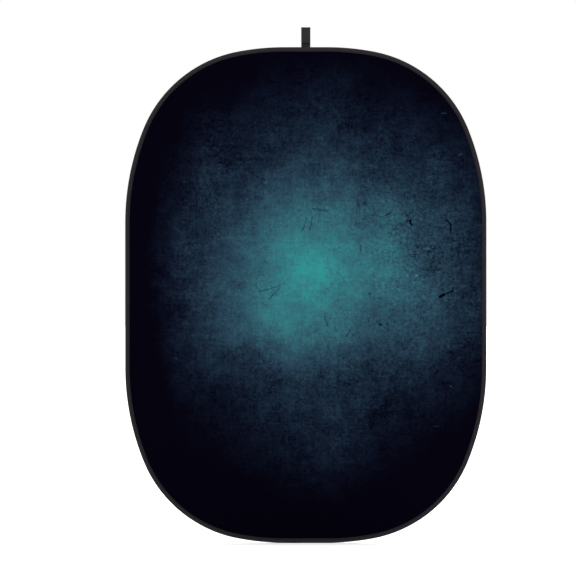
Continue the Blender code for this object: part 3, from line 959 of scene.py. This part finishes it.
def loop_path():
    """Middle line of the folded webbing in (y, z): front tail, round the eye, rear tail."""
    top, y = HEIGHT, LOOP_DEPTH
    front_tail = [
        (3.3 * MM, top - 17.0 * MM), (3.6 * MM, top - 12.2 * MM), (5.4 * MM, top - 8.6 * MM),
        (y - PLY_OFFSET, top - 5.0 * MM), (y - PLY_OFFSET, top),
    ]
    stem = [(y - PLY_OFFSET, top + 6 * MM), (y - PLY_OFFSET, top + STEM_TOP - 2 * MM)]
    half = (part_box("hang_loop")[1][1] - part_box("hang_loop")[0][1]) / 2 - PLY_OFFSET
    rise = LOOP_TOP - STEM_TOP
    eye = []
    for u in EYE_SHARES:
        gap = half * EYE_FULLNESS * math.sqrt(math.sin(math.pi * u)) * math.sin(math.pi * u / 2) ** 1.5
        height = STEM_TOP + (rise - PLY_OFFSET) * (1 - math.cos(math.pi * u)) / 2
        eye.append((y - max(gap, PLY_OFFSET), top + height))
    crown = [(y, top + LOOP_TOP - CROWN_SINK)]
    near = stem + eye
    far = [(2 * y - a, b) for a, b in reversed(near)]
    rear_tail = [
        (y + PLY_OFFSET, top), (y + PLY_OFFSET, top - 5.6 * MM), (y - 0.9 * MM, top - 9.6 * MM),
        (5.0 * MM, top - 13.0 * MM), (4.8 * MM, top - 17.0 * MM),
    ]
    return front_tail + near + crown + far + rear_tail


def make_loop():
    """The webbing as one flat strip with soft edges, folded into the loop."""
    path, along = smooth_path([(y, z, 0.0) for y, z in loop_path()], WEBBING_STEP)
    tangent = np.gradient(path, axis=0)
    tangent /= np.linalg.norm(tangent, axis=1, keepdims=True)
    normal = np.stack([-tangent[:, 1], tangent[:, 0]], -1)
    half, thick = WEBBING_WIDTH / 2, WEBBING_THICKNESS / 2
    thin, growth = WEBBING_EDGE
    ring = [(x * half, thick * min(1.0, thin + growth * (1 - abs(x)))) for x in WEBBING_PROFILE]
    ring += [(x, -t) for x, t in reversed(ring)]
    surface = np.array([[(x, y + ny * t, z + nz * t) for x, t in ring]
                        for (y, z, _), (ny, nz) in zip(path, normal)])
    count, size = surface.shape[:2]
    points = np.arange(count * size).reshape(count, size)
    points = np.concatenate([points, points[:, :1]], 1)  # each ring closes on its first point
    faces = points.ravel()[grid_faces(count, size + 1)]
    from_top = along - along[-1] / 2
    across = np.append(surface[0, :, 0], surface[0, 0, 0])
    uvs = strip_uvs(count - 1, from_top, across).reshape(-1, 2)
    caps = [list(range(size - 1, -1, -1)), [(count - 1) * size + i for i in range(size)]]
    cap_uvs = [(from_top[0], across[i]) for i in caps[0]]
    cap_uvs += [(from_top[-1], across[i]) for i in range(size)]
    loop = new_mesh("loop_webbing", place(surface.reshape(-1, 3)),
                    [list(face) for face in faces] + caps, WEBBING, np.concatenate([uvs, cap_uvs]))
    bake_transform(loop)
    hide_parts("hang_loop", "loop_tails")


def make_bartack(name, node, body, span, side):
    """Dense zigzag of thread across the webbing, between two borders of straight stitches."""
    mesh = ThreadMesh()
    y = LOOP_DEPTH + side * (PLY_OFFSET + WEBBING_THICKNESS / 2 + BARTACK_LIFT)
    border_y = y + side * BORDER_LIFT
    low, high = HEIGHT + span[0], HEIGHT + span[1]
    reach = WEBBING_WIDTH / 2 - BARTACK_MARGIN
    out = (0.0, float(side), 0.0)
    steps = round(2 * reach / ZIGZAG_PITCH)
    xs = np.linspace(-reach, reach, steps + 1)
    for index, (x0, x1) in enumerate(zip(xs, xs[1:])):
        z0, z1 = (low, high) if index % 2 else (high, low)
        mesh.add((x0, y, z0), (x1, y, z1), out, BARTACK_THREAD)
    for z in (low, high):
        for x0, x1 in zip(xs[::BORDER_STEPS], xs[BORDER_STEPS::BORDER_STEPS]):
            mesh.add((x0, border_y, z), (x1, border_y, z), out, BARTACK_THREAD)
    obj = mesh.build(name, THREAD)
    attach(obj, body)
    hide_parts(node)


def make_loop_stitching():
    """Bartack through the loop's base, seen on both sides, and the one that holds its tails."""
    make_bartack("loop_bartack_front", "bartack_front", "hang_loop", BARTACK_SPAN, FRONT)
    make_bartack("loop_bartack_rear", "bartack_rear", "hang_loop", BARTACK_SPAN, REAR)
    make_bartack("tail_bartack_threads", "tail_bartack", "panel_upper", TAIL_BARTACK_SPAN, REAR)


# ---------------------------------------------------------------- studio

SKY_STRENGTH = 1.0
FLOOR_RADIUS = 40.0
FLOOR_GREY = 0.93
FLOOR_GAP = 0.5 * MM
TOP_LIGHT = (2.4, 7.0, 2.4)  # strength, angle across and lean to the rear, in degrees
LIGHTS = (  # name, place above the floor, size in metres, and power in watts
    ("key", (-2.6, -4.5, 3.4), 2.2, 110.0), ("fill", (3.4, -4.0, 1.6), 2.6, 60.0),
    ("back", (4.0, 2.6, 2.9), 1.6, 240.0),
)
CAMERA_DISTANCE = 7.0
CAMERA_SIDE, CAMERA_HEIGHT = -0.0739, 1.0579
VIEW_WIDTH = 2.392  # metres across the picture, at the panel
SENSOR_WIDTH = 36.0


def make_studio():
    """Pale floor, even white surroundings, and soft lights in front and behind."""
    material = bpy.data.materials.new("studio_floor")
    material.use_nodes = True
    shader = material.node_tree.nodes["Principled BSDF"]
    shader.inputs["Base Color"].default_value = (FLOOR_GREY, FLOOR_GREY, FLOOR_GREY, 1.0)
    shader.inputs["Roughness"].default_value = 0.9
    shader.inputs["Specular IOR Level"].default_value = 0.0
    bpy.ops.mesh.primitive_circle_add(vertices=96, radius=FLOOR_RADIUS, fill_type="NGON")
    floor = bpy.context.object
    floor.name = "studio_floor"
    floor.location = (0.0, 0.0, FLOOR - FLOOR_GAP)
    floor.data.materials.append(material)
    world = bpy.data.worlds.new("studio")
    world.use_nodes = True
    sky = world.node_tree.nodes["Background"]
    sky.inputs["Color"].default_value = (1.0, 1.0, 1.0, 1.0)
    sky.inputs["Strength"].default_value = SKY_STRENGTH
    bpy.context.scene.world = world
    for name, place_at, size, power in LIGHTS:
        light = bpy.data.lights.new(name, "AREA")
        light.size = size
        light.energy = power
        obj = bpy.data.objects.new(name, light)
        obj.location = Vector(place_at) + Vector((0.0, 0.0, FLOOR))
        aim = Vector((0.0, 0.0, FLOOR + HEIGHT / 2)) - obj.location
        obj.rotation_euler = aim.to_track_quat("-Z", "Y").to_euler()
        bpy.context.scene.collection.objects.link(obj)
    strength, angle, lean = TOP_LIGHT
    top = bpy.data.lights.new("top", "SUN")
    top.energy = strength
    top.angle = math.radians(angle)
    obj = bpy.data.objects.new("top", top)
    obj.rotation_euler = (math.radians(-lean), 0.0, 0.0)
    bpy.context.scene.collection.objects.link(obj)
    bpy.context.scene.view_settings.view_transform = "Standard"


def make_camera():
    """Long lens, square on to the panel, a little left of its middle."""
    data = bpy.data.cameras.new("camera")
    data.sensor_width = SENSOR_WIDTH
    data.lens = SENSOR_WIDTH * CAMERA_DISTANCE / VIEW_WIDTH
    camera = bpy.data.objects.new("camera", data)
    camera.location = (CAMERA_SIDE, MID_Y - CAMERA_DISTANCE, FLOOR + CAMERA_HEIGHT)
    camera.rotation_euler = (math.radians(90), 0.0, 0.0)
    bpy.context.scene.collection.objects.link(camera)
    bpy.context.scene.camera = camera


# ---------------------------------------------------------------- the panel

CLOTHS = (  # name, side, material, slot, seed, and height of its puckers
    ("front_cloth", FRONT, PRINT, "printed_cloth", 11, 0.7 * MM),
    ("rear_cloth", REAR, BLACK_CLOTH, "black_cloth", 23, 1.9 * MM),
)

make_studio()
make_camera()
tapes = make_tape()
make_hoop()
grid = cloth_grid()
places = edge_places(grid.reshape(-1, 2))
for cloth in CLOTHS:
    make_cloth(*cloth, grid, places)
make_seam()
make_loop()
make_loop_stitching()
for node, finish in (("hoop_ferrule", FERRULE_STEEL), ("ferrule_wrap", WRAP_TAPE)):
    frame["nodes"][node].data.materials.clear()
    frame["nodes"][node].data.materials.append(finish)
